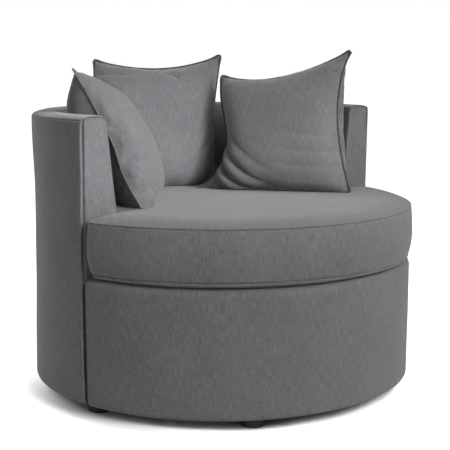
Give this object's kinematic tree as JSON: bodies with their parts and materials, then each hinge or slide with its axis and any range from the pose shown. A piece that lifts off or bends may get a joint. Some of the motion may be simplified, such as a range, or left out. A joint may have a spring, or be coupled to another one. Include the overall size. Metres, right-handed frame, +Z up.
{
  "type": "armchair",
  "caption": "Round upholstered armchair: drum base on short feet, wrap-round back and arms, loose T-shaped seat cushion and loose scatter pillows.",
  "frame": {"origin": "centre of the round plan on the floor, under the middle of the base", "axes": "+Z up, the open front faces -Y, +X to the viewer's right when looking at the front"},
  "size_m": [0.9598, 0.9658, 0.8361],
  "materials": {
    "upholstery": "woven charcoal melange, matt",
    "foam": "upholstery foam, matt",
    "fibre": "polyester fibre, matt",
    "plywood": "raw plywood",
    "timber": "raw softwood",
    "hardboard": "raw hardboard",
    "webbing": "elastic webbing, matt",
    "deck_cloth": "plain black lining cloth",
    "dust_cloth": "black spunbond cloth",
    "foot_plastic": "black moulded plastic, satin",
    "steel": "zinc plated",
    "zip_tape": "woven tape and nylon coil"
  },
  "bodies": {
    "chair": {"arm_board_left": "plywood", "arm_board_right": "plywood", "arm_facing_left": "upholstery", "arm_facing_right": "upholstery", "arm_pad_left": "foam", "arm_pad_right": "foam", "back_foam": "foam", "back_lining": "hardboard", "back_posts": "timber", "back_skin": "hardboard", "base_cross_rails": "timber", "base_ring": "plywood", "deck_cloth": "deck_cloth", "deck_foam": "foam", "dust_cover": "dust_cloth", "feet": "foot_plastic", "foot_screws": "steel", "front_cover": "upholstery", "front_posts": "timber", "front_skin": "hardboard", "front_wadding": "fibre", "inside_cover": "upholstery", "outer_cover": "upholstery", "outer_wadding": "fibre", "seat_ring": "plywood", "top_band": "upholstery", "top_rail": "plywood", "top_strip": "foam", "webbing_crosswise": "webbing", "webbing_lengthwise": "webbing"},
    "seat_cushion": {"seat_cushion_cover": "upholstery", "seat_cushion_wrap": "fibre", "seat_cushion_core": "foam", "seat_cushion_zip": "zip_tape"},
    "zip_slider": {"zip_slider": "steel"},
    "pillow_middle": {"pillow_cover_middle": "upholstery", "pillow_filling_middle": "fibre"},
    "pillow_left": {"pillow_cover_left": "upholstery", "pillow_filling_left": "fibre"},
    "pillow_right": {"pillow_cover_right": "upholstery", "pillow_filling_right": "fibre"}
  },
  "joints": [
    {"name": "seat_cushion_lift", "type": "slide", "parent": "chair", "child": "seat_cushion", "axis": [0, 0, 1], "range_m": [0, 0.4]},
    {"name": "pillow_middle_lift", "type": "slide", "parent": "seat_cushion", "child": "pillow_middle", "axis": [0, 0, 1], "range_m": [0, 0.3]},
    {"name": "pillow_left_lift", "type": "slide", "parent": "pillow_middle", "child": "pillow_left", "axis": [0, 0, 1], "range_m": [0, 0.3]},
    {"name": "pillow_right_lift", "type": "slide", "parent": "pillow_middle", "child": "pillow_right", "axis": [0, 0, 1], "range_m": [0, 0.3]},
    {"name": "zip_slide", "type": "hinge", "parent": "seat_cushion", "child": "zip_slider", "pos_m": [0, 0, 0.394], "axis": [0, 0, 1], "range_deg": [0, 102]}
  ]
}
